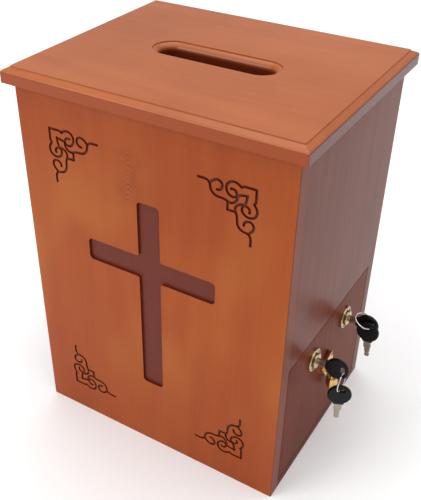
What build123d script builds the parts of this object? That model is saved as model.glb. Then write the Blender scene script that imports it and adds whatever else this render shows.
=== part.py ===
"""A wooden donation box with an engraved front, a slotted lid and a locking side drawer.

Millimetres. +Z is up, +X points out of the side that holds the drawer and the front
faces -Y. The origin is the centre of the underside.
"""

import os

from build123d import *

# Case
CASE_W = 284.0  # along X
CASE_D = 228.0  # along Y
CASE_H = 385.0
BOARD = 15.0
BASE_BOARD = 9.0
EDGE_EASE = 0.8

# Lid
LID_W = 300.0
LID_D = 244.0
LID_T = 15.0
LID_STEP = 1.0  # height of the raised field on the lid
LID_INSET = 6.5  # from the lid's edge to the raised field
LID_SLOPE = 3.0  # fall of the moulded edge
LID_ROLL = 3.0  # rounding where the moulded edge meets the upright face

# Slot through the lid
SLOT_L = 119.0
SLOT_W = 25.0
SLOT_ROUND = 6.5

# Sunk cross on the front
CROSS_BAR = 24.0
CROSS_ARM = 141.0
CROSS_LOW = 85.5
CROSS_TOP = 301.5
CROSS_ARM_Z = 231.0
CROSS_DEPTH = 2.5
CROSS_CORNER = 4.5

# Engraved corner ornaments
ORNAMENT_X = 80.0
ORNAMENT_INSET_Z = 62.0
GROOVE_W = 2.5
GROOVE_DEPTH = 1.5

# Fixings and battens inside the case
CLEAT = 15.0
CLEAT_L = 220.0
BLOCK = 15.0
BLOCK_LOW = 190.0
BLOCK_TOP = 350.0
KICKER = 10.0
SCREW_R = 1.75
SCREW_HEAD_R = 3.6
SCREW_SPACING = 90.0
FIT = 0.05  # radial clearance of a running or screwed fit

# Drawer
DRAWER_GAP = 1.0
DRAWER_TOP = 161.0
DRAWER_SIDE = 9.0
DRAWER_SIDE_TOP = 149.0
DRAWER_LIFT = 0.5
DRAWER_BACK_X = -118.0
DRAWER_FLOOR = 4.0
DRAWER_FLOOR_Z = 14.0
DRAWER_GROOVE = 4.0

# Cam locks
LOCK_Y = 39.5
LOCK_Z = 131.5
BEZEL_R = 12.3
BEZEL_T = 2.6
BEZEL_RIM = 1.6
BARREL_R = 9.4
BARREL_BACK = 19.8  # how far the barrel reaches in from the drawer's face
PLUG_R = 8.0
PLUG_OUT = 5.5
PLUG_STEP = 17.5
PLUG_NECK_R = 6.0
NUT_R = 13.0
NUT_T = 4.4
CAM_T = 2.0
CAM_REACH = 42.0
CAM_W = 16.0
CAM_SQUARE = 6.4

# Keys
KEY_NECK = 8.5  # bare blade between the plug and the head
KEY_IN = 11.5
KEY_TANG = 8.0
BLADE_T = 2.0
BLADE_H = 7.6
KEYWAY_CLEAR = 0.25
HEAD_R = 12.0
HEAD_T = 4.0
HEAD_HOLE = 6.0  # from the head's centre to the middle of its slot
HEAD_SLOT_L = 11.5
HEAD_SLOT_W = 4.0
HEAD_ROUND = 1.4
SHOULDER_W = 10.8
FLUTE_W = 1.4
FLUTE_DEPTH = 0.4
RING_R = 10.2
RING_WIRE = 0.75
RING_PLAY = 0.5  # between the wire and the end of the slot it hangs from
RING_OVER = 114.0  # the back ring lies up over the key's neck
RING_UP = 1.5  # the back ring's wire above the lock's centre
SPARE_TURN = 25.0  # the front spare key's turn about the upright
SPARE_TILT = 5.5  # the back spare key's lean
SPARE_BESIDE = 4.4  # from the back spare key's head to the other key's
SPARE_ALONG = 3.7  # the wire's place along the back spare key's slot

# Drop pull
PULL_Y = 0.5
PULL_Z = 92.0
PULL_SCREW_Z = 85.0
PLATE_T = 2.0
PLATE_CURL = 5.5  # how far the leaf's tip stands out
PIN_OUT = 6.2  # the pin's distance from the drawer's face
PIN_R = 1.2
LUG_GAP = 9.0
LUG_T = 2.0
LUG_R = 2.6
PULL_SCREW_R = 1.6
PULL_SCREW_HEAD_R = 3.6
WASHER_R = 5.0
WASHER_T = 1.0
STEM_R = 1.9
COLLAR_R = 2.7
BUD_LOBE = (3.5, 3.5, 8.4)
BUD_LOBES = 4
BUD_R = 3.0  # from the bud's axis to the middle of each lobe
BUD_OUT = 3.0  # the bud's axis beyond the pin's
BUD_DOWN = 18.5
BUD_TIP_R = 2.0

FACE_X = CASE_W / 2
FRONT_Y = -CASE_D / 2
INNER_X = CASE_W / 2 - BOARD
INNER_Y = CASE_D / 2 - BOARD
LOCKS = {"front": -LOCK_Y, "back": LOCK_Y}


def block(x0, x1, y0, y1, z0, z1):
    """A plain box between two corners."""
    size = Box(x1 - x0, y1 - y0, z1 - z0)
    return Pos((x0 + x1) / 2, (y0 + y1) / 2, (z0 + z1) / 2) * size


def rod_x(radius, x0, x1, y, z):
    """A cylinder along X."""
    return Pos((x0 + x1) / 2, y, z) * Rot(0, 90, 0) * Cylinder(radius, x1 - x0)


def rod_y(radius, y0, y1, x, z):
    """A cylinder along Y."""
    return Pos(x, (y0 + y1) / 2, z) * Rot(90, 0, 0) * Cylinder(radius, y1 - y0)


def rod_z(radius, z0, z1, x, y):
    """A cylinder along Z."""
    return Pos(x, y, (z0 + z1) / 2) * Cylinder(radius, z1 - z0)


def save(shape, node):
    """Write one node."""
    shape.label = node
    export_step(shape, f"parts/{node}.step")


# ---------------------------------------------------------------- ornaments


def swap(points):
    """The same points mirrored across the ornament's diagonal."""
    return [(v, u) for u, v in points]


def groove(points, smooth=True):
    """The flat outline of one cutter stroke with round ends."""
    path = Spline(*points) if smooth else Polyline(*points)
    outline = trace(path, line_width=GROOVE_W)
    ends = points if not smooth else (points[0], points[-1])
    for u, v in ends:
        outline += Pos(u, v) * Circle(GROOVE_W / 2)
    return outline


def ornament():
    """One corner ornament. u and v both run from the panel's corner towards its middle."""
    lobe = [
        (-12.1, -24.4), (-9.3, -26.4), (-5.2, -27.5), (-0.6, -25.5), (1.5, -20.5),
        (-0.5, -15.3), (-4.8, -13.4), (-8.3, -15.8), (-7.2, -19.4), (-3.0, -20.3),
    ]
    scroll = [
        (-9.0, -16.0), (-8.8, -12.6), (-6.8, -9.2), (-3.3, -7.4), (0.2, -8.1),
        (3.8, -9.2), (9.0, -9.5), (13.6, -11.3), (16.2, -15.0), (17.1, -19.4),
        (19.0, -21.8), (22.6, -22.8), (28.0, -22.7),
    ]
    hook = [
        (10.2, -15.8), (7.0, -16.8), (5.2, -20.0), (6.4, -23.6), (9.9, -25.1),
        (13.7, -23.5), (17.0, -19.8),
    ]
    inner = [(-18.2, -17.9), (-13.6, -17.4), (-9.0, -16.0)]
    shape = Sketch()
    for stroke in (lobe, scroll, hook, inner):
        shape += groove(stroke)
        shape += groove(swap(stroke))
    corner = [(-12.1, -24.4), (-14.6, -25.9), (-26.0, -25.9)]
    shape += groove(corner, smooth=False)
    shape += groove(swap(corner), smooth=False)
    shape += groove([(-0.1, -7.6), (-0.1, -0.1), (-7.6, -0.1)], smooth=False)
    return shape


def front_ornaments():
    """The four ornaments in the front's own X and Z."""
    shape = ornament()
    low = ORNAMENT_INSET_Z
    high = CASE_H - ORNAMENT_INSET_Z
    left_low = Pos(-ORNAMENT_X, low) * shape
    left_high = Pos(-ORNAMENT_X, high) * mirror(shape, about=Plane.XZ)
    right_low = Pos(ORNAMENT_X, low) * mirror(shape, about=Plane.YZ)
    right_high = mirror(left_high, about=Plane.YZ)
    return [left_low, left_high, right_low, right_high]


def cross_outline():
    """The sunk cross in the front's own X and Z."""
    upright_z = (CROSS_LOW + CROSS_TOP) / 2
    shape = Pos(0, upright_z) * Rectangle(CROSS_BAR, CROSS_TOP - CROSS_LOW)
    shape += Pos(0, CROSS_ARM_Z) * Rectangle(CROSS_ARM, CROSS_BAR)
    inner = [v for v in shape.vertices() if abs(abs(v.X) - CROSS_BAR / 2) < 0.1]
    inner = [v for v in inner if abs(abs(v.Y - CROSS_ARM_Z) - CROSS_BAR / 2) < 0.1]
    shape = fillet(inner, CROSS_CORNER / 2)
    reach = CROSS_ARM / 2
    tips = [v for v in shape.vertices() if abs(abs(v.X) - reach) < 0.1]
    tips += [v for v in shape.vertices() if min(abs(v.Y - CROSS_LOW), abs(v.Y - CROSS_TOP)) < 0.1]
    return fillet(tips, CROSS_CORNER)


# ---------------------------------------------------------------- case


def eased(panel, y_face):
    """A front or back panel with its two upright outer edges eased."""
    upright = panel.edges().filter_by(Axis.Z)
    outer = [e for e in upright if abs(e.center().Y - y_face) < 0.1]
    return fillet(outer, EDGE_EASE)


def front_panel():
    panel = block(-FACE_X, FACE_X, FRONT_Y, FRONT_Y + BOARD, 0, CASE_H)
    panel = eased(panel, FRONT_Y)
    face = Plane(origin=(0, FRONT_Y, 0), x_dir=(1, 0, 0), z_dir=(0, -1, 0))
    panel -= extrude(face * cross_outline(), amount=-CROSS_DEPTH)
    for outline in front_ornaments():
        panel -= extrude(face * outline, amount=-GROOVE_DEPTH)
    return panel


def back_panel():
    panel = block(-FACE_X, FACE_X, -FRONT_Y - BOARD, -FRONT_Y, 0, CASE_H)
    return eased(panel, -FRONT_Y)


def left_side_panel():
    return block(-FACE_X, -INNER_X, -INNER_Y, INNER_Y, BASE_BOARD, CASE_H)


def right_side_panel():
    low = DRAWER_TOP + DRAWER_GAP
    return block(INNER_X, FACE_X, -INNER_Y, INNER_Y, low, CASE_H)


def bottom_board():
    return block(-FACE_X, FACE_X, -INNER_Y, INNER_Y, 0, BASE_BOARD)


def stadium(length, width, z0, z1):
    """An upright prism with round ends."""
    return Pos(0, 0, z0) * extrude(SlotOverall(length, width), amount=z1 - z0)


def screw_xs():
    return (-SCREW_SPACING, 0, SCREW_SPACING)


def lid_screw_y():
    return INNER_Y - CLEAT / 2


def lid_board():
    field_z = CASE_H + LID_T - LID_STEP
    slab = block(-LID_W / 2, LID_W / 2, -LID_D / 2, LID_D / 2, CASE_H, field_z)
    field_face = slab.faces().sort_by(Axis.Z)[-1]
    slab = chamfer(field_face.edges(), LID_INSET - 0.2, LID_SLOPE, reference=field_face)
    arris_z = field_z - LID_SLOPE
    slab = fillet([e for e in slab.edges() if abs(e.center().Z - arris_z) < 0.05], LID_ROLL)
    slab -= stadium(SLOT_L, SLOT_W, CASE_H - 1, field_z + 1)
    top = slab.faces().sort_by(Axis.Z)[-1]
    slab = fillet(top.inner_wires()[0].edges(), SLOT_ROUND - 0.3)
    inset = 2 * LID_INSET
    field = extrude(RectangleRounded(LID_W - inset, LID_D - inset, 1.5), amount=LID_STEP)
    field = Pos(0, 0, field_z) * field
    sunk = 2 * SLOT_ROUND
    field -= stadium(SLOT_L + sunk, SLOT_W + sunk, field_z - 1, field_z + LID_STEP + 1)
    lid = slab + field
    for y in (-lid_screw_y(), lid_screw_y()):
        for x in screw_xs():
            lid -= rod_z(SCREW_R + FIT, CASE_H - 1, CASE_H + LID_T - 4, x, y)
    return lid


def lid_cleat(side):
    """The batten under the lid along the front (-1) or the back (1)."""
    y0, y1 = sorted((side * INNER_Y, side * (INNER_Y - CLEAT)))
    low = CASE_H - CLEAT
    cleat = block(-CLEAT_L / 2, CLEAT_L / 2, y0, y1, low, CASE_H)
    for x in screw_xs():
        y = side * lid_screw_y()
        cleat -= rod_z(SCREW_R + FIT, low - 1, CASE_H + 1, x, y)
        sink = Cone(SCREW_HEAD_R + FIT, SCREW_R + FIT, SCREW_HEAD_R - SCREW_R)
        cleat -= Pos(x, y, low + (SCREW_HEAD_R - SCREW_R) / 2) * sink
    return cleat


def lid_screws():
    """Countersunk wood screws up through the cleats into the lid."""
    low = CASE_H - CLEAT
    rise = SCREW_HEAD_R - SCREW_R
    screws = []
    for y in (-lid_screw_y(), lid_screw_y()):
        for x in screw_xs():
            head = Pos(x, y, low + rise / 2) * Cone(SCREW_HEAD_R, SCREW_R, rise)
            shank = rod_z(SCREW_R, low + rise / 2, CASE_H + LID_T - 5, x, y)
            slot = block(x - 2.4, x + 2.4, y - 0.4, y + 0.4, low - 1, low + 0.9)
            screws.append(head + shank - slot)
    return Compound(children=screws)


def corner_block(x_side, y_side):
    """A glue block in an inside corner of the case."""
    x0, x1 = sorted((x_side * INNER_X, x_side * (INNER_X - BLOCK)))
    y0, y1 = sorted((y_side * INNER_Y, y_side * (INNER_Y - BLOCK)))
    body = block(x0, x1, y0, y1, BLOCK_LOW, BLOCK_TOP)
    free = [e for e in body.edges().filter_by(Axis.Z) if abs(e.center().X) < INNER_X - 1]
    free = [e for e in free if abs(e.center().Y) < INNER_Y - 1]
    return chamfer(free, 5.0)


def kicker(side):
    """The strip that keeps the drawer from tipping when it is pulled out."""
    y0, y1 = sorted((side * INNER_Y, side * (INNER_Y - KICKER)))
    low = DRAWER_SIDE_TOP + 1.0
    return block(-INNER_X, INNER_X - 1, y0, y1, low, low + KICKER)


# ---------------------------------------------------------------- drawer


def drawer_front():
    y = INNER_Y - DRAWER_GAP
    low = BASE_BOARD + DRAWER_GAP
    front = block(INNER_X, FACE_X, -y, y, low, DRAWER_TOP)
    front = chamfer(front.faces().sort_by(Axis.X)[-1].edges(), 0.5)
    floor_y = INNER_Y - DRAWER_GAP - DRAWER_SIDE
    groove_top = DRAWER_FLOOR_Z + DRAWER_FLOOR
    front -= block(INNER_X - 1, INNER_X + DRAWER_GROOVE, -floor_y, floor_y, DRAWER_FLOOR_Z, groove_top)
    for lock_y in LOCKS.values():
        front -= rod_x(BARREL_R + FIT, INNER_X - 1, FACE_X + 1, lock_y, LOCK_Z)
    front -= rod_x(2.0 + FIT, INNER_X - 1, FACE_X + 1, PULL_Y, PULL_SCREW_Z)
    return front


def drawer_side(side):
    outer = INNER_Y - DRAWER_GAP
    y0, y1 = sorted((side * outer, side * (outer - DRAWER_SIDE)))
    low = BASE_BOARD + DRAWER_LIFT
    wall = block(DRAWER_BACK_X, INNER_X, y0, y1, low, DRAWER_SIDE_TOP)
    floor_y = outer - DRAWER_SIDE + DRAWER_GROOVE
    groove_top = DRAWER_FLOOR_Z + DRAWER_FLOOR
    wall -= block(DRAWER_BACK_X - 1, INNER_X + 1, -floor_y, floor_y, DRAWER_FLOOR_Z, groove_top)
    return wall


def drawer_rear():
    y = INNER_Y - DRAWER_GAP - DRAWER_SIDE
    x1 = DRAWER_BACK_X + DRAWER_SIDE
    low = DRAWER_FLOOR_Z + DRAWER_FLOOR
    return block(DRAWER_BACK_X, x1, -y, y, low, DRAWER_SIDE_TOP)


def drawer_floor():
    y = INNER_Y - DRAWER_GAP - DRAWER_SIDE
    top = DRAWER_FLOOR_Z + DRAWER_FLOOR
    sheet = block(DRAWER_BACK_X, INNER_X, -y - DRAWER_GROOVE, y + DRAWER_GROOVE, DRAWER_FLOOR_Z, top)
    tongue = block(INNER_X - 1, INNER_X + DRAWER_GROOVE, -y, y, DRAWER_FLOOR_Z, top)
    return sheet + tongue


# ---------------------------------------------------------------- drop pull


def pull_outline():
    """The leaf with a lobe on each side, in the drawer front's own Y and Z."""
    tip, waist, foot = (0, 23.5), (8.2, 6.8), (0, -14.0)
    right = make_face([
        Spline(tip, (5.6, 17.0), (9.4, 10.0), waist, tangents=((0.7, -0.7), (-0.7, -0.6))),
        Spline(waist, (12.6, 7.0), (14.8, 1.5), (12.0, -4.5), (6.5, -7.5)),
        Spline((6.5, -7.5), (3.4, -10.0), foot),
        Line(foot, tip),
    ])
    return right + mirror(right, about=Plane.YZ)


def pull_plate():
    """The back plate, with the leaf curling outwards and two lugs for the pin."""
    face = Plane(origin=(FACE_X, PULL_Y, PULL_Z), x_dir=(0, 1, 0), z_dir=(1, 0, 0))
    plate = extrude(face * pull_outline(), amount=PLATE_CURL + 1)
    side = [
        (0, -16), (PLATE_T, -16), (PLATE_T, 8), (PLATE_CURL, 24), (PLATE_CURL - 2.2, 24), (0, 12),
    ]
    section = Plane(origin=(FACE_X, PULL_Y, PULL_Z), x_dir=(1, 0, 0), z_dir=(0, -1, 0))
    plate &= extrude(section * make_face(Polyline(*side, close=True)), amount=20, both=True)
    pin_x = FACE_X + PIN_OUT
    for way in (-1, 1):
        y = PULL_Y + way * (LUG_GAP / 2 + LUG_T / 2)
        lug = rod_y(LUG_R, y - LUG_T / 2, y + LUG_T / 2, pin_x, PULL_Z)
        root = block(FACE_X + 1, pin_x, y - LUG_T / 2, y + LUG_T / 2, PULL_Z - LUG_R, PULL_Z + LUG_R)
        plate += lug + root
    plate -= rod_y(PIN_R, PULL_Y - LUG_GAP, PULL_Y + LUG_GAP, pin_x, PULL_Z)
    hole = rod_x(PULL_SCREW_R + FIT, FACE_X - 1, FACE_X + PLATE_T + 1, PULL_Y, PULL_SCREW_Z)
    return plate - hole


def pull_pin():
    reach = LUG_GAP / 2 + LUG_T + 0.8
    return rod_y(PIN_R, PULL_Y - reach, PULL_Y + reach, FACE_X + PIN_OUT, PULL_Z)


def pull_drop():
    """A lobed bud under a short stem and a barrel on the pin."""
    pin_x = FACE_X + PIN_OUT
    half = LUG_GAP / 2 - 0.3
    bud = Pos(pin_x + BUD_OUT, PULL_Y, PULL_Z - BUD_DOWN)
    lobes = bud * Cylinder(BUD_R, 1.5 * BUD_LOBE[2])
    for count in range(BUD_LOBES):
        lobes += bud * Rot(0, 0, 360 * count / BUD_LOBES) * Pos(BUD_R, 0, 0) * scale(Sphere(1), by=BUD_LOBE)
    lobes += bud * Pos(0, 0, -BUD_LOBE[2] + 0.8) * Sphere(BUD_TIP_R)
    drop = rod_y(LUG_R, PULL_Y - half, PULL_Y + half, pin_x, PULL_Z)
    stem = Plane(origin=(pin_x, PULL_Y, PULL_Z), z_dir=(BUD_OUT, 0, 4 - BUD_DOWN))
    drop += extrude(stem * Circle(STEM_R), amount=BUD_DOWN - 5)
    drop += Pos(pin_x + 0.5 * BUD_OUT, PULL_Y, PULL_Z - 8) * Sphere(COLLAR_R)
    drop += lobes
    drop -= rod_y(PIN_R + FIT, PULL_Y - LUG_GAP, PULL_Y + LUG_GAP, pin_x, PULL_Z)
    return drop


def pull_screw():
    """The screw from inside the drawer into the back plate."""
    z = PULL_SCREW_Z
    head = rod_x(PULL_SCREW_HEAD_R, INNER_X - 3.4, INNER_X - WASHER_T, PULL_Y, z)
    shank = rod_x(PULL_SCREW_R, INNER_X - 2, FACE_X + PLATE_T, PULL_Y, z)
    slot = block(INNER_X - 4, INNER_X - 2.5, PULL_Y - 0.5, PULL_Y + 0.5, z - 5, z + 5)
    return head + shank - slot


def pull_washer():
    disc = rod_x(WASHER_R, INNER_X - WASHER_T, INNER_X, PULL_Y, PULL_SCREW_Z)
    return disc - rod_x(PULL_SCREW_R + 0.2, INNER_X - 2, INNER_X + 1, PULL_Y, PULL_SCREW_Z)


# ---------------------------------------------------------------- locks


def lock_body(y):
    """Bezel and barrel in one casting, bored for the plug."""
    back = FACE_X - BARREL_BACK
    bezel = rod_x(BEZEL_R, FACE_X, FACE_X + BEZEL_T, y, LOCK_Z)
    bezel = fillet(bezel.faces().sort_by(Axis.X)[-1].edges(), 1.0)
    dish = rod_x(BEZEL_R - BEZEL_RIM, FACE_X + BEZEL_T - 0.8, FACE_X + BEZEL_T + 1, y, LOCK_Z)
    body = bezel - dish + rod_x(BARREL_R, back, FACE_X + 0.5, y, LOCK_Z)
    body -= rod_x(PLUG_R + FIT, FACE_X - PLUG_STEP, FACE_X + BEZEL_T + 1, y, LOCK_Z)
    body -= rod_x(PLUG_NECK_R + FIT, back - 1, FACE_X, y, LOCK_Z)
    return body


def lock_nut(y):
    outline = RegularPolygon(NUT_R, 6)
    face = Plane(origin=(INNER_X - NUT_T, y, LOCK_Z), x_dir=(0, 1, 0), z_dir=(1, 0, 0))
    nut = extrude(face * outline, amount=NUT_T)
    return nut - rod_x(BARREL_R + FIT, INNER_X - NUT_T - 1, INNER_X + 1, y, LOCK_Z)


def cam_back():
    return FACE_X - BARREL_BACK - 0.4 - CAM_T


def lock_plug(y):
    """The part that the key turns, with a square tail for the cam."""
    step = FACE_X - PLUG_STEP
    plug = rod_x(PLUG_R, step + 0.1, FACE_X + PLUG_OUT, y, LOCK_Z)
    plug = fillet(plug.faces().sort_by(Axis.X)[-1].edges(), 1.2)
    plug += rod_x(PLUG_NECK_R, cam_back() + CAM_T, step + 1, y, LOCK_Z)
    half = CAM_SQUARE / 2
    plug += block(cam_back(), FACE_X - PLUG_STEP, y - half, y + half, LOCK_Z - half, LOCK_Z + half)
    slot_t = BLADE_T / 2 + KEYWAY_CLEAR
    slot_h = BLADE_H / 2 + KEYWAY_CLEAR
    deep = FACE_X + PLUG_OUT - KEY_IN - 1
    plug -= block(deep, FACE_X + PLUG_OUT + 1, y - slot_t, y + slot_t, LOCK_Z - slot_h, LOCK_Z + slot_h)
    plug -= rod_x(1.5, cam_back() - 1, cam_back() + 6, y, LOCK_Z)
    return plug


def lock_cam(y):
    """The flat latch, pointing across the drawer when unlocked."""
    length = CAM_REACH + CAM_W / 2
    face = Plane(origin=(cam_back(), y, LOCK_Z), x_dir=(0, 1, 0), z_dir=(1, 0, 0))
    outline = Pos(length / 2 - CAM_W / 2, 0) * SlotOverall(length, CAM_W)
    cam = extrude(face * outline, amount=CAM_T)
    half = CAM_SQUARE / 2 + FIT
    return cam - block(0, FACE_X, y - half, y + half, LOCK_Z - half, LOCK_Z + half)


def cam_screw(y):
    back = cam_back()
    head = rod_x(5.2, back - 2.4, back, y, LOCK_Z)
    head = fillet(head.faces().sort_by(Axis.X)[0].edges(), 0.8)
    screw = head + rod_x(1.5 - FIT, back - 1, back + 5.5, y, LOCK_Z)
    for turn in (0, 90):
        bar = Rot(turn, 0, 0) * Box(1.6, 6.0, 1.1)
        screw -= Pos(back - 2.4, y, LOCK_Z) * bar
    return screw


# ---------------------------------------------------------------- keys
# A key is drawn pointing along -X from the middle of its head, lying in XZ.


def key_blade():
    """The blade, cut along both edges, and the tang inside the head."""
    root = -HEAD_R
    full = BLADE_H / 2
    cuts = [
        (8.0, full), (9.2, 2.5), (10.2, 2.5), (11.2, 3.1), (12.4, 2.2), (13.4, 2.8),
        (14.8, 1.8), (15.6, 2.3), (16.8, 1.5), (17.8, 2.5), (19.0, 2.4), (20.0, 1.2),
    ]
    upper = [(root - along, half) for along, half in cuts]
    lower = [(x, -half) for x, half in reversed(upper)]
    tang = root + KEY_TANG
    outline = Polyline((tang, full), *upper, *lower, (tang, -full), close=True)
    face = Plane(origin=(0, BLADE_T / 2, 0), x_dir=(1, 0, 0), z_dir=(0, -1, 0))
    blade = extrude(face * make_face(outline), amount=BLADE_T)
    tip = root - KEY_NECK - KEY_IN
    for side in (-1, 1):
        y = side * BLADE_T / 2
        blade -= block(tip - 1, root - 2, y - FLUTE_DEPTH, y + FLUTE_DEPTH, -FLUTE_W / 2, FLUTE_W / 2)
    return blade


def key_head():
    """The moulded head with a slot near its outer end and a pocket for the tang."""
    head = rod_y(HEAD_R, -HEAD_T / 2, HEAD_T / 2, 0, 0)
    head = fillet(head.edges(), HEAD_ROUND)
    thick, wide = HEAD_T / 2 - 0.3, SHOULDER_W / 2
    shoulder = block(-HEAD_R - 0.2, -HEAD_R + 6, -thick, thick, -wide, wide)
    head += fillet(shoulder.edges().filter_by(Axis.X), 0.9)
    across = Plane(origin=(HEAD_HOLE, 0, 0), x_dir=(0, 0, 1), z_dir=(0, 1, 0))
    head -= extrude(across * SlotOverall(HEAD_SLOT_L, HEAD_SLOT_W), amount=HEAD_T, both=True)
    half_t = BLADE_T / 2 + FIT
    half_h = BLADE_H / 2 + FIT
    head -= block(-HEAD_R - 1, -HEAD_R + KEY_TANG + FIT, -half_t, half_t, -half_h, half_h)
    return head


def key_ring():
    """A wire ring in YZ, hung from the origin."""
    return Pos(0, 0, -RING_R) * Rot(0, 90, 0) * Torus(RING_R, RING_WIRE)


def key_place(y):
    """Where the middle of an inserted key's head is."""
    return Pos(FACE_X + PLUG_OUT + KEY_NECK + HEAD_R, y, LOCK_Z)


def wire_place(name, y):
    """Where the ring's wire passes through the inserted key's slot."""
    x = FACE_X + PLUG_OUT + KEY_NECK + HEAD_R + HEAD_HOLE
    if name == "back":
        return Pos(x, y, LOCK_Z + RING_UP)
    return Pos(x, y, LOCK_Z - HEAD_SLOT_L / 2 + RING_WIRE + RING_PLAY)


def ring_place(name, y):
    """The front ring hangs down.  The back one lies up over the key's neck."""
    if name == "back":
        return wire_place(name, y) * Pos(0, -SPARE_BESIDE / 2, 0) * Rot(0, RING_OVER, 0)
    return wire_place(name, y)


def spare_place(name, y):
    """The front spare key hangs from its ring, the back one beside the other head."""
    hang = Rot(0, -90, 0) * Pos(-HEAD_HOLE, 0, 0)
    if name == "back":
        beside = wire_place(name, y) * Pos(0, -SPARE_BESIDE, 0) * Rot(0, -SPARE_TILT, 0)
        return beside * Pos(-SPARE_ALONG, 0, 0) * hang
    sag = HEAD_SLOT_W / 2 - RING_WIRE - RING_PLAY - 0.1
    return wire_place(name, y) * Pos(0, 0, -2 * RING_R - sag) * Rot(0, 0, SPARE_TURN) * hang


# ---------------------------------------------------------------- build


def save_case():
    save(front_panel(), "front_panel")
    save(back_panel(), "back_panel")
    save(left_side_panel(), "left_side_panel")
    save(right_side_panel(), "right_side_panel")
    save(bottom_board(), "bottom_board")
    save(lid_board(), "lid_board")
    save(lid_cleat(-1), "front_lid_cleat")
    save(lid_cleat(1), "back_lid_cleat")
    save(lid_screws(), "lid_screws")
    save(kicker(-1), "front_drawer_kicker")
    save(kicker(1), "back_drawer_kicker")
    for x_name, x_side in (("left", -1), ("right", 1)):
        for y_name, y_side in (("front", -1), ("back", 1)):
            save(corner_block(x_side, y_side), f"{y_name}_{x_name}_corner_block")


def save_drawer():
    save(drawer_front(), "drawer_front")
    save(drawer_side(-1), "drawer_front_side")
    save(drawer_side(1), "drawer_back_side")
    save(drawer_rear(), "drawer_rear")
    save(drawer_floor(), "drawer_floor")
    save(pull_plate(), "pull_plate")
    save(pull_pin(), "pull_pin")
    save(pull_drop(), "pull_drop")
    save(pull_screw(), "pull_screw")
    save(pull_washer(), "pull_washer")


def save_locks():
    for name, y in LOCKS.items():
        save(lock_body(y), f"{name}_lock_body")
        save(lock_nut(y), f"{name}_lock_nut")
        save(lock_plug(y), f"{name}_lock_plug")
        save(lock_cam(y), f"{name}_lock_cam")
        save(cam_screw(y), f"{name}_cam_screw")
        save(key_place(y) * key_blade(), f"{name}_key_blade")
        save(key_place(y) * key_head(), f"{name}_key_head")
        save(ring_place(name, y) * key_ring(), f"{name}_key_ring")
        save(spare_place(name, y) * key_blade(), f"{name}_spare_key_blade")
        save(spare_place(name, y) * key_head(), f"{name}_spare_key_head")


os.makedirs("parts", exist_ok=True)
save_case()
save_drawer()
save_locks()
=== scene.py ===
"""Looks for a wooden donation box: stained boards, brass fittings, keys, floor, lights and camera."""

from math import cos, radians, sin

import bpy
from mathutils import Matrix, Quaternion, Vector


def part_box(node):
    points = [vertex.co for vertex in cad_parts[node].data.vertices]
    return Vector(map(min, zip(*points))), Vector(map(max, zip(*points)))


bl_info = {
    "name": "Donation Box",
    "version": (1, 0, 0),
    "blender": (4, 5, 0),
    "location": "3D View > Sidebar > Donation Box",
    "description": "Finishes the boards, fittings and keys of a wooden donation box",
    "category": "Object",
}

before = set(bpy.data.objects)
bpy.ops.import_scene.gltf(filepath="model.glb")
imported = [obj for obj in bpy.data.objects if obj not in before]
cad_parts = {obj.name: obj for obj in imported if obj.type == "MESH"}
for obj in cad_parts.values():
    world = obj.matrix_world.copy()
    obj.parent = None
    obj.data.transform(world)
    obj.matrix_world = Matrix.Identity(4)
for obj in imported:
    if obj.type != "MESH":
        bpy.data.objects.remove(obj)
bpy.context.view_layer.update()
SIDES = ("front", "back")

FRONT_LOW, FRONT_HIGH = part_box("front_panel")
LID_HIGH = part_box("lid_board")[1]


# ---------------------------------------------------------------- settings


def colour(name, description, default):
    """A colour setting."""
    return bpy.props.FloatVectorProperty(
        name=name, description=description, default=default, subtype="COLOR", size=3, min=0, max=1
    )


def share(name, description, default):
    """A setting from 0 to 1."""
    return bpy.props.FloatProperty(
        name=name, description=description, default=default, min=0, max=1, subtype="FACTOR"
    )


class WoodSettings(bpy.types.PropertyGroup):
    """Stains, lacquer and grain of the boards."""

    front_light: colour("Front light", "Light part of the front's grain", (0.38, 0.076, 0.0095))
    front_dark: colour("Front dark", "Dark part of the front's grain", (0.31, 0.050, 0.0050))
    lid_light: colour("Lid light", "Light part of the lid's grain", (0.42, 0.118, 0.034))
    lid_dark: colour("Lid dark", "Dark part of the lid's grain", (0.32, 0.076, 0.018))
    side_light: colour("Side light", "Light part of the side's grain", (0.185, 0.034, 0.012))
    side_dark: colour("Side dark", "Dark part of the side's grain", (0.125, 0.019, 0.006))
    front_gold: colour("Front gold", "Warm patches on the front", (0.44, 0.130, 0.022))
    burnt: colour("Burnt groove", "Colour of the engraved grooves", (0.105, 0.012, 0.003))
    cross: colour("Cross floor", "Colour of the sunk cross", (0.150, 0.024, 0.012))
    bare_light: colour("Bare light", "Light part of the unstained wood", (0.56, 0.37, 0.20))
    bare_dark: colour("Bare dark", "Dark part of the unstained wood", (0.40, 0.24, 0.12))
    lacquer: share("Lacquer", "Weight of the clear lacquer", 0.28)
    front_lacquer: share("Front lacquer", "Weight of the front's lacquer", 0.06)
    engraved_depth: bpy.props.FloatProperty(
        name="Engraved depth", description="Depth of the ornament grooves", default=0.0015,
        min=0.0002, max=0.004, subtype="DISTANCE", unit="LENGTH",
    )
    cross_depth: bpy.props.FloatProperty(
        name="Cross depth", description="Depth of the sunk cross", default=0.0025,
        min=0.0005, max=0.006, subtype="DISTANCE", unit="LENGTH",
    )


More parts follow.
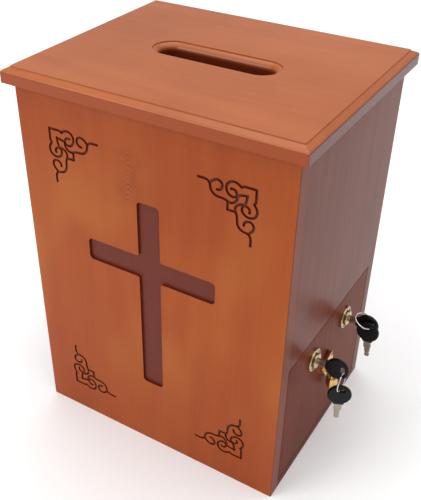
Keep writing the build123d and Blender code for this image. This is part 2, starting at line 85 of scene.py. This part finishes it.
class MetalSettings(bpy.types.PropertyGroup):
    """Fittings and keys."""

    brass: colour("Pull brass", "Colour of the drop pull", (0.80, 0.52, 0.20))
    plate: colour("Lock plate", "Colour of the lock's bezel and plug", (0.60, 0.46, 0.27))
    nickel: colour("Key metal", "Colour of the key blades", (0.42, 0.37, 0.30))
    zinc: colour("Zinc", "Colour of the hidden nuts, cams and screws", (0.55, 0.56, 0.57))
    wire: colour("Ring wire", "Colour of the key rings", (0.78, 0.78, 0.78))
    plastic: colour("Key head", "Colour of the moulded key heads", (0.003, 0.003, 0.0035))


class StageSettings(bpy.types.PropertyGroup):
    """Camera, floor and light."""

    azimuth: bpy.props.FloatProperty(
        name="Azimuth", description="Camera's turn from the front", default=radians(31.94),
        subtype="ANGLE", unit="ROTATION",
    )
    elevation: bpy.props.FloatProperty(
        name="Elevation", description="Camera's height angle", default=radians(34.97),
        subtype="ANGLE", unit="ROTATION",
    )
    roll: bpy.props.FloatProperty(
        name="Roll", description="Camera's turn about its own line of sight",
        default=radians(0.17), subtype="ANGLE", unit="ROTATION",
    )
    distance: bpy.props.FloatProperty(
        name="Distance", description="From the camera to the point it aims at", default=0.8115,
        min=0.1, subtype="DISTANCE", unit="LENGTH",
    )
    aim: bpy.props.FloatVectorProperty(
        name="Aim", description="The point the camera aims at, from the middle of the case",
        default=(-0.0135, -0.0218, -0.0084), subtype="TRANSLATION", unit="LENGTH", size=3,
    )
    lens: bpy.props.FloatProperty(
        name="Lens", description="Focal length", default=55.31, min=10, subtype="DISTANCE_CAMERA",
        unit="CAMERA",
    )
    shift: bpy.props.FloatVectorProperty(
        name="Shift", description="The lens's shift across and up", default=(0.0416, 0.0184),
        size=2,
    )
    floor_colour: colour("Floor", "Colour of the floor", (0.96, 0.96, 0.96))
    floor_size: bpy.props.FloatProperty(
        name="Floor size", description="Length of the floor's side", default=14.0, min=1,
        subtype="DISTANCE", unit="LENGTH",
    )
    sky: bpy.props.FloatProperty(
        name="Room light", description="Strength of the even light all round", default=0.50, min=0
    )


# ---------------------------------------------------------------- node helpers


class Shader:
    """A material's node tree with short ways to add and join nodes."""

    def __init__(self, name):
        self.material = bpy.data.materials.new(name)
        self.material.use_nodes = True
        self.tree = self.material.node_tree
        self.body = self.tree.nodes["Principled BSDF"]
        self.spot = 0

    def add(self, kind, **values):
        """A node with its properties set."""
        node = self.tree.nodes.new(kind)
        self.spot += 1
        node.location = (-260 - 190 * (self.spot // 6), 300 - 220 * (self.spot % 6))
        for key, value in values.items():
            setattr(node, key, value)
        return node

    def join(self, source, target):
        """A link, from an output to an input."""
        self.tree.links.new(source, target)

    def set(self, **values):
        """Constant values on the surface shader's own sockets."""
        for key, value in values.items():
            name = key.replace("_", " ").title().replace("Ior", "IOR")
            self.body.inputs[name].default_value = value

    def place(self):
        """Coordinates in metres."""
        return self.add("ShaderNodeTexCoord").outputs["Object"]

    def split(self):
        """The coordinates across, back and up, in metres."""
        node = self.add("ShaderNodeSeparateXYZ")
        self.join(self.place(), node.inputs["Vector"])
        return node.outputs["X"], node.outputs["Y"], node.outputs["Z"]

    def mapped(self, vector, scale=(1, 1, 1), shift=(0, 0, 0)):
        """Coordinates shifted and stretched."""
        node = self.add("ShaderNodeMapping")
        node.inputs["Location"].default_value = shift
        node.inputs["Scale"].default_value = scale
        self.join(vector, node.inputs["Vector"])
        return node.outputs["Vector"]

    def noise(self, vector, scale, detail=3.0, roughness=0.55):
        """A noise texture's grey value."""
        node = self.add("ShaderNodeTexNoise")
        node.inputs["Scale"].default_value = scale
        node.inputs["Detail"].default_value = detail
        node.inputs["Roughness"].default_value = roughness
        self.join(vector, node.inputs["Vector"])
        return node.outputs["Fac"]

    def spread(self, value, low, high, new_low=0.0, new_high=1.0, smooth=False):
        """A value moved from one range to another and held inside it."""
        node = self.add("ShaderNodeMapRange")
        node.interpolation_type = "SMOOTHSTEP" if smooth else "LINEAR"
        node.inputs["From Min"].default_value = low
        node.inputs["From Max"].default_value = high
        node.inputs["To Min"].default_value = new_low
        node.inputs["To Max"].default_value = new_high
        self.join(value, node.inputs["Value"])
        return node.outputs["Result"]

    def maths(self, kind, one, two=None):
        """One operation on values or sockets."""
        node = self.add("ShaderNodeMath", operation=kind)
        for slot, value in enumerate((one, two)):
            if value is None:
                continue
            if isinstance(value, (int, float)):
                node.inputs[slot].default_value = value
            else:
                self.join(value, node.inputs[slot])
        return node.outputs["Value"]

    def mix(self, share_of, one, two):
        """Two colours mixed by a value or a socket."""
        node = self.add("ShaderNodeMix", data_type="RGBA")
        sockets = {"Factor": node.inputs[0], "A": node.inputs[6], "B": node.inputs[7]}
        for key, value in (("Factor", share_of), ("A", one), ("B", two)):
            if isinstance(value, bpy.types.NodeSocket):
                self.join(value, sockets[key])
            elif key == "Factor":
                sockets[key].default_value = value
            else:
                sockets[key].default_value = (*value, 1)
        return node.outputs[2]

    def bump(self, height, strength, distance):
        """Relief in the surface."""
        node = self.add("ShaderNodeBump")
        node.inputs["Strength"].default_value = strength
        node.inputs["Distance"].default_value = distance
        self.join(height, node.inputs["Height"])
        self.join(node.outputs["Normal"], self.body.inputs["Normal"])


AXES = {"X": 0, "Y": 1, "Z": 2}
FLAME_X = -0.019
FLAME_Z = 0.322
FLAME_BOW = 150.0
FLAME_RATE = 1250.0
FLAME_WAVE = 0.022
FLAME_REACH = (0.009, 0.020)
FLAME_HEIGHT = (0.018, 0.035)
WARM_Z = 0.200
WARM_REACH = (0.06, 0.17)
KNOTS = ((0.041, 0.370), (0.032, 0.130), (0.054, 0.089))
KNOT_SIZE = 0.0011
JOINT_X = 0.039
JOINT_HEIGHTS = (0.090, 0.197)
JOINT_FADE = 0.02
JOINT_WIDTH = (0.0002, 0.0006)
CARVED_MARGIN = 0.006
SKIN = 0.0004
LID_EDGE = 0.0048
SLOT_HALF = (0.070, 0.020)
SLOT_WALL = (0.009, 0.003)
SIDE_SHEEN = (0.36, 0.10)
DRAWER_SHEEN = (0.40, 0.05)
SCRATCHES = 0.08
OVERHEAD = {"place": (0.2, 0.4, 3.0), "size": 3.6, "power": 88}
FRONT_LAMP = {"place": (-1.2, -1.9, 1.5), "size": 1.3, "power": 22}


def grain(shader, along, seed):
    """Grey values for a board: growth rings, fibres, pores and slow changes of tone."""
    place = shader.place()
    stretch = [1.0, 1.0, 1.0]
    stretch[AXES[along]] = 0.09
    offset = (0.37 * seed, 0.61 * seed, 0.23 * seed)
    strung = shader.mapped(place, scale=stretch, shift=offset)
    slow = shader.noise(strung, 7.0, 1.0, 0.4)
    rings = shader.maths("SINE", shader.maths("MULTIPLY", slow, 70.0))
    rings = shader.spread(rings, -1.0, 1.0, 0.0, 1.0, True)
    fine = [1.0, 1.0, 1.0]
    fine[AXES[along]] = 0.022
    threads = shader.mapped(place, scale=fine, shift=offset)
    fibres = shader.noise(threads, 420.0, 4.0, 0.65)
    pores = shader.noise(threads, 1500.0, 1.0, 0.4)
    pores = shader.spread(pores, 0.60, 0.68, 0.0, 1.0, True)
    patches = shader.noise(shader.mapped(place, shift=offset), 7.0, 2.0, 0.5)
    return rings, fibres, pores, patches


def board(name, light, dark, along, seed, lacquer, gloss=0.34, shine=0.2):
    """A stained board. Returns the shader with its colour socket, so that more can be laid on."""
    shader = Shader(name)
    rings, fibres, pores, patches = grain(shader, along, seed)
    tone = shader.maths("MULTIPLY", rings, 0.22)
    tone = shader.maths("ADD", tone, shader.spread(fibres, 0.3, 0.7, 0.0, 0.3))
    tone = shader.maths("ADD", tone, shader.spread(patches, 0.3, 0.7, 0.0, 0.5, True))
    base = shader.mix(tone, light, dark)
    deep = tuple(0.6 * c for c in dark)
    base = shader.mix(shader.maths("MULTIPLY", pores, 0.22), base, deep)
    rough = shader.spread(fibres, 0.2, 0.8, gloss - 0.04, gloss + 0.08)
    shader.join(rough, shader.body.inputs["Roughness"])
    height = shader.maths("SUBTRACT", shader.maths("MULTIPLY", fibres, 0.5), pores)
    shader.bump(height, 0.10, 0.0002)
    shader.set(coat_weight=lacquer, coat_roughness=0.16, ior=1.45, specular_ior_level=shine)
    return shader, base


def knot(shader, across, up, spot, size):
    """One round knot, dark in its middle, as a grey value."""
    wide = shader.maths("SUBTRACT", across, spot[0])
    tall = shader.maths("SUBTRACT", up, spot[1])
    square = shader.maths("ADD", shader.maths("MULTIPLY", wide, wide), shader.maths("MULTIPLY", tall, tall))
    return shader.spread(shader.maths("SQRT", square), 0.3 * size, size, 1.0, 0.0, True)


def flame(shader, across, up):
    """Nested arches of a cathedral figure, fading away from their axis, as a grey value."""
    wide = shader.maths("SUBTRACT", across, FLAME_X)
    bow = shader.maths("MULTIPLY", shader.maths("MULTIPLY", wide, wide), FLAME_BOW)
    wave = shader.noise(shader.mapped(shader.place(), scale=(1, 1, 0.35)), 45.0, 3.0)
    rise = shader.maths("ADD", shader.maths("ADD", up, bow), shader.maths("MULTIPLY", wave, FLAME_WAVE))
    arches = shader.maths("SINE", shader.maths("MULTIPLY", rise, FLAME_RATE))
    arches = shader.spread(arches, -1, 1, 0, 1, True)
    faint = shader.noise(shader.mapped(shader.place(), shift=(0.7, 0, 0.4)), 60.0, 2.0)
    arches = shader.maths("MULTIPLY", arches, shader.spread(faint, 0.38, 0.62, 0.25, 1.0, True))
    near = shader.spread(shader.maths("ABSOLUTE", wide), *FLAME_REACH, 1.0, 0.0, True)
    far = shader.maths("ABSOLUTE", shader.maths("SUBTRACT", up, FLAME_Z))
    tall = shader.spread(far, *FLAME_HEIGHT, 1.0, 0.0, True)
    return shader.maths("MULTIPLY", arches, shader.maths("MULTIPLY", near, tall))


def painted(shader, base):
    """Joins the last colour to the surface and returns the material."""
    shader.join(base, shader.body.inputs["Base Color"])
    return shader.material


def stained(*values):
    """A plain board's finished material."""
    return painted(*board(*values))


def warmed(shader, base, up, gold):
    """Warm patches, strongest at the middle of the height."""
    place = shader.mapped(shader.place(), scale=(1, 1, 0.5), shift=(2.3, 0, 1.1))
    warm = shader.spread(shader.noise(place, 8.0, 2.0), 0.42, 0.62, 0.0, 0.6, True)
    away = shader.maths("ABSOLUTE", shader.maths("SUBTRACT", up, WARM_Z))
    warm = shader.maths("MULTIPLY", warm, shader.spread(away, *WARM_REACH, 1.0, 0.1, True))
    return shader.mix(warm, base, gold)


def glue_line(shader, across, up):
    """The thin line between two boards, fading at both ends, as a grey value."""
    off = shader.maths("ABSOLUTE", shader.maths("SUBTRACT", across, JOINT_X))
    line = shader.spread(off, *JOINT_WIDTH, 0.30, 0.0, True)
    low, high = JOINT_HEIGHTS
    line = shader.maths("MULTIPLY", line, shader.spread(up, low, low + JOINT_FADE, 0.0, 1.0, True))
    return shader.maths("MULTIPLY", line, shader.spread(up, high - JOINT_FADE, high, 1.0, 0.0, True))


def figured(shader, base, across, up, wood):
    """The warm patches, flame, knots and glue line of the front."""
    deep = tuple(0.45 * c for c in wood.front_dark)
    base = warmed(shader, base, up, wood.front_gold)
    base = shader.mix(shader.maths("MULTIPLY", flame(shader, across, up), 0.50), base, deep)
    for spot in KNOTS:
        mark = shader.maths("MULTIPLY", knot(shader, across, up, spot, KNOT_SIZE), 0.8)
        base = shader.mix(mark, base, deep)
    return shader.mix(glue_line(shader, across, up), base, deep)


def carved(shader, base, across, back, wood):
    """The burnt grooves and the floor of the cross, told apart by their depth."""
    face = FRONT_LOW.y
    middle = (wood.engraved_depth + wood.cross_depth) / 2
    inside = shader.maths("LESS_THAN", shader.maths("ABSOLUTE", across), FRONT_HIGH.x - CARVED_MARGIN)
    sunk = shader.maths("MULTIPLY", shader.spread(back, face + 0.00005, face + 0.0005), inside)
    floor = shader.spread(back, face + middle - 0.0001, face + middle + 0.0002)
    floor = shader.maths("MULTIPLY", floor, inside)
    base = shader.mix(sunk, base, wood.burnt)
    fibres = grain(shader, "Z", 4)[1]
    worn = tuple(0.86 * c for c in wood.cross)
    return shader.mix(floor, base, shader.mix(shader.spread(fibres, 0.3, 0.7), wood.cross, worn))


def front_board(wood):
    """The front's material: a figured board with darker grooves, a darker cross and painted shade on its
    end faces.
    """
    shader, base = board(
        "Front board stain", wood.front_light, wood.front_dark, "Z", 1, wood.front_lacquer, 0.42
    )
    across, back, up = shader.split()
    base = figured(shader, base, across, up, wood)
    # Painted shade: the front board's end faces take the side's darker stain.
    edge = shader.maths("GREATER_THAN", shader.maths("ABSOLUTE", across), FRONT_HIGH.x - SKIN)
    base = shader.mix(edge, base, wood.side_light)
    return painted(shader, carved(shader, base, across, back, wood))


def lid_finish(wood):
    """The lid's material, with painted shade: darker on its edge, its right end and the slot's walls."""
    shader, base = board("Lid stain", wood.lid_light, wood.lid_dark, "X", 12, wood.lacquer)
    across, back, up = shader.split()
    # Painted shade: the lid's edges below the top are darkened towards the front's dark stain.
    low = shader.maths("LESS_THAN", up, LID_HIGH.z - LID_EDGE)
    base = shader.mix(shader.maths("MULTIPLY", low, 0.9), base, wood.front_dark)
    # Painted shade: the lid's right end, turned to the side, takes the side's dark stain.
    end = shader.maths("GREATER_THAN", across, LID_HIGH.x - SKIN)
    base = shader.mix(end, base, wood.side_dark)
    # Painted shade: the walls inside the slot are darkened with the side's dark stain.
    deep, shallow = SLOT_WALL
    slot_shade = shader.spread(up, LID_HIGH.z - deep, LID_HIGH.z - shallow, 1, 0, True)
    for value, half in zip((across, back), SLOT_HALF):
        near = shader.maths("LESS_THAN", shader.maths("ABSOLUTE", value), half)
        slot_shade = shader.maths("MULTIPLY", slot_shade, near)
    return painted(shader, shader.mix(slot_shade, base, wood.side_dark))


def metal(name, base, rough):
    """A metal with fine scratches and a slow change of gloss."""
    shader = Shader(name)
    place = shader.place()
    slow = shader.noise(place, 90.0, 3.0, 0.6)
    brushed = shader.noise(shader.mapped(place, scale=(1, 0.08, 1)), 2600.0, 2.0, 0.6)
    tone = shader.mix(shader.spread(slow, 0.3, 0.75), base, tuple(0.72 * c for c in base))
    shader.join(tone, shader.body.inputs["Base Color"])
    gloss = shader.maths("ADD", shader.spread(slow, 0.3, 0.7, rough - 0.05, rough + 0.08),
                         shader.spread(brushed, 0.3, 0.7, 0.0, 0.06))
    shader.join(gloss, shader.body.inputs["Roughness"])
    shader.bump(brushed, SCRATCHES, 0.00004)
    shader.set(metallic=1.0)
    return shader.material


def moulded(name, base):
    """A glossy moulded plastic with a faint grain and finger marks."""
    shader = Shader(name)
    place = shader.place()
    marks = shader.noise(place, 160.0, 3.0, 0.6)
    tone = shader.mix(shader.spread(marks, 0.35, 0.7), base, tuple(2.2 * c for c in base))
    shader.join(tone, shader.body.inputs["Base Color"])
    shader.join(shader.spread(marks, 0.3, 0.7, 0.26, 0.38), shader.body.inputs["Roughness"])
    shader.bump(shader.noise(place, 2400.0, 2.0, 0.5), 0.12, 0.00003)
    shader.set(specular_ior_level=0.22, ior=1.45)
    return shader.material


def give(material, *nodes):
    """Gives CAD nodes a material."""
    for name in nodes:
        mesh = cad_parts[name].data
        mesh.materials.clear()
        mesh.materials.append(material)


# ---------------------------------------------------------------- operators


class DONATIONBOX_OT_case(bpy.types.Operator):
    """Stains and lacquers the case's boards"""

    bl_idname = "donation_box.case"
    bl_label = "Finish the Case"

    def execute(self, context):
        wood = context.scene.donation_box_wood
        give(front_board(wood), "front_panel")
        for seed, name in enumerate(("back_panel", "left_side_panel", "right_side_panel"), 5):
            give(stained(
                f"Stain of {name}", wood.side_light, wood.side_dark, "Z", seed, 0.5 * wood.lacquer,
                *SIDE_SHEEN
            ), name)
        give(stained(
            "Stain of bottom_board", wood.side_light, wood.side_dark, "Y", 9, 0.15 * wood.lacquer,
            *DRAWER_SHEEN
        ), "bottom_board")
        return {"FINISHED"}


class DONATIONBOX_OT_lid(bpy.types.Operator):
    """Stains and lacquers the lid"""

    bl_idname = "donation_box.lid"
    bl_label = "Finish the Lid"

    def execute(self, context):
        wood = context.scene.donation_box_wood
        give(lid_finish(wood), "lid_board")
        return {"FINISHED"}


class DONATIONBOX_OT_inside(bpy.types.Operator):
    """Gives the pieces inside the case their bare wood and their screws"""

    bl_idname = "donation_box.inside"
    bl_label = "Finish the Inside"

    def execute(self, context):
        wood = context.scene.donation_box_wood
        metals = context.scene.donation_box_metal
        along = {"Z": [], "X": []}
        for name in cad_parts:
            if "corner_block" in name:
                along["Z"].append(name)
            if "cleat" in name or "kicker" in name:
                along["X"].append(name)
        for axis, names in along.items():
            give(stained(
                f"Bare wood along {axis}", wood.bare_light, wood.bare_dark, axis, 20, 0.0, 0.5
            ), *names)
        give(metal("Zinc screws", metals.zinc, 0.35), "lid_screws")
        return {"FINISHED"}


class DONATIONBOX_OT_drawer(bpy.types.Operator):
    """Finishes the drawer's front and its bare box"""

    bl_idname = "donation_box.drawer"
    bl_label = "Finish the Drawer"

    def execute(self, context):
        wood = context.scene.donation_box_wood
        give(stained(
            "Drawer front stain", wood.side_light, wood.side_dark, "Z", 15, 0.15 * wood.lacquer,
            *DRAWER_SHEEN
        ), "drawer_front")
        for axis, seed, names in (
            ("X", 21, ("drawer_front_side", "drawer_back_side")),
            ("Y", 22, ("drawer_rear",)),
            ("X", 23, ("drawer_floor",)),
        ):
            give(stained(
                f"Bare {names[0]}", wood.bare_light, wood.bare_dark, axis, seed, 0.0, 0.5
            ), *names)
        return {"FINISHED"}


class DONATIONBOX_OT_pull(bpy.types.Operator):
    """Finishes the brass drop pull"""

    bl_idname = "donation_box.pull"
    bl_label = "Finish the Pull"

    def execute(self, context):
        metals = context.scene.donation_box_metal
        give(metal("Pull brass", metals.brass, 0.14), "pull_plate", "pull_drop", "pull_pin")
        give(metal("Zinc pull screw", metals.zinc, 0.35), "pull_screw", "pull_washer")
        return {"FINISHED"}


class DONATIONBOX_OT_locks(bpy.types.Operator):
    """Finishes both cam locks"""

    bl_idname = "donation_box.locks"
    bl_label = "Finish the Locks"

    def execute(self, context):
        metals = context.scene.donation_box_metal
        plate = metal("Lock plate", metals.plate, 0.12)
        zinc = metal("Zinc lock parts", metals.zinc, 0.35)
        for side in SIDES:
            give(plate, f"{side}_lock_body", f"{side}_lock_plug")
            give(zinc, f"{side}_lock_nut", f"{side}_lock_cam", f"{side}_cam_screw")
        return {"FINISHED"}


class DONATIONBOX_OT_keys(bpy.types.Operator):
    """Finishes the keys, their moulded heads and the wire rings"""

    bl_idname = "donation_box.keys"
    bl_label = "Finish the Keys"

    def execute(self, context):
        metals = context.scene.donation_box_metal
        blade = metal("Key metal", metals.nickel, 0.22)
        head = moulded("Key head", metals.plastic)
        wire = metal("Ring wire", metals.wire, 0.15)
        for side in SIDES:
            give(blade, f"{side}_key_blade", f"{side}_spare_key_blade")
            give(head, f"{side}_key_head", f"{side}_spare_key_head")
            give(wire, f"{side}_key_ring")
        return {"FINISHED"}


def area_light(name, aim, place, size, power):
    """A soft square light."""
    lamp = bpy.data.lights.new(name, "AREA")
    lamp.size = size
    lamp.energy = power
    light = bpy.data.objects.new(name, lamp)
    light.location = place
    light.rotation_euler = (Vector(aim) - Vector(place)).to_track_quat("-Z", "Y").to_euler()
    bpy.context.scene.collection.objects.link(light)


def add_floor(settings):
    """The pale floor that the box stands on."""
    bpy.ops.mesh.primitive_plane_add(size=settings.floor_size, location=(0, 0, 0))
    floor = bpy.context.object
    floor.name = "floor"
    shader = Shader("Floor")
    shade = shader.noise(shader.place(), 3.0)
    tint = tuple(0.985 * c for c in settings.floor_colour)
    shader.join(shader.mix(shade, settings.floor_colour, tint), shader.body.inputs["Base Color"])
    shader.set(roughness=0.9)
    floor.data.materials.append(shader.material)


def add_room(scene, settings):
    """The even light all round."""
    world = bpy.data.worlds.new("Room")
    scene.world = world
    world.use_nodes = True
    background = world.node_tree.nodes["Background"]
    background.inputs["Color"].default_value = (1, 1, 1, 1)
    background.inputs["Strength"].default_value = settings.sky


def add_camera(scene, settings, middle):
    """The camera, turned about the middle of the case."""
    data = bpy.data.cameras.new("camera")
    data.lens = settings.lens
    data.sensor_width = 36.0
    data.shift_x, data.shift_y = settings.shift
    data.clip_start = 0.01
    camera = bpy.data.objects.new("camera", data)
    scene.collection.objects.link(camera)
    back = Vector((
        sin(settings.azimuth) * cos(settings.elevation),
        -cos(settings.azimuth) * cos(settings.elevation),
        sin(settings.elevation),
    ))
    camera.location = middle + Vector(settings.aim) + back * settings.distance
    turn = (-back).to_track_quat("-Z", "Y") @ Quaternion((0, 0, 1), settings.roll)
    camera.rotation_euler = turn.to_euler()
    scene.camera = camera


class DONATIONBOX_OT_stage(bpy.types.Operator):
    """Sets up the floor, the room light, the lamps and the camera"""

    bl_idname = "donation_box.stage"
    bl_label = "Set the Stage"

    def execute(self, context):
        scene = context.scene
        settings = scene.donation_box_stage
        middle = (FRONT_LOW + FRONT_HIGH) / 2
        middle.y = 0.0
        add_floor(settings)
        add_room(scene, settings)
        area_light("overhead softbox", (0.2, 0.4, 0), **OVERHEAD)
        area_light("front softbox", (0, 0, middle.z), **FRONT_LAMP)
        add_camera(scene, settings, middle)
        scene.view_settings.view_transform = "Standard"
        return {"FINISHED"}


class DONATIONBOX_PT_panel(bpy.types.Panel):
    """Lists the donation box's operators and settings"""

    bl_idname = "DONATIONBOX_PT_panel"
    bl_label = "Donation Box"
    bl_space_type = "VIEW_3D"
    bl_region_type = "UI"
    bl_category = "Donation Box"

    def draw(self, context):
        for operator in OPERATORS:
            self.layout.operator(operator.bl_idname)
        for holder in ("donation_box_wood", "donation_box_metal", "donation_box_stage"):
            settings = getattr(context.scene, holder)
            box = self.layout.box()
            for name in settings.__annotations__:
                box.prop(settings, name)


SETTINGS = {
    "donation_box_wood": WoodSettings,
    "donation_box_metal": MetalSettings,
    "donation_box_stage": StageSettings,
}
OPERATORS = (
    DONATIONBOX_OT_case,
    DONATIONBOX_OT_lid,
    DONATIONBOX_OT_inside,
    DONATIONBOX_OT_drawer,
    DONATIONBOX_OT_pull,
    DONATIONBOX_OT_locks,
    DONATIONBOX_OT_keys,
    DONATIONBOX_OT_stage,
)


def register():
    """Registers the settings, the operators and the panel."""
    for holder, settings in SETTINGS.items():
        bpy.utils.register_class(settings)
        setattr(bpy.types.Scene, holder, bpy.props.PointerProperty(type=settings))
    for operator in OPERATORS:
        bpy.utils.register_class(operator)
    bpy.utils.register_class(DONATIONBOX_PT_panel)


def unregister():
    """Takes them out again."""
    bpy.utils.unregister_class(DONATIONBOX_PT_panel)
    for operator in reversed(OPERATORS):
        bpy.utils.unregister_class(operator)
    for holder, settings in SETTINGS.items():
        delattr(bpy.types.Scene, holder)
        bpy.utils.unregister_class(settings)


def main():
    """Finishes every piece and sets the stage."""
    register()
    for operator in OPERATORS:
        group, name = operator.bl_idname.split(".")
        getattr(getattr(bpy.ops, group), name)()


if __name__ == "__main__":
    main()
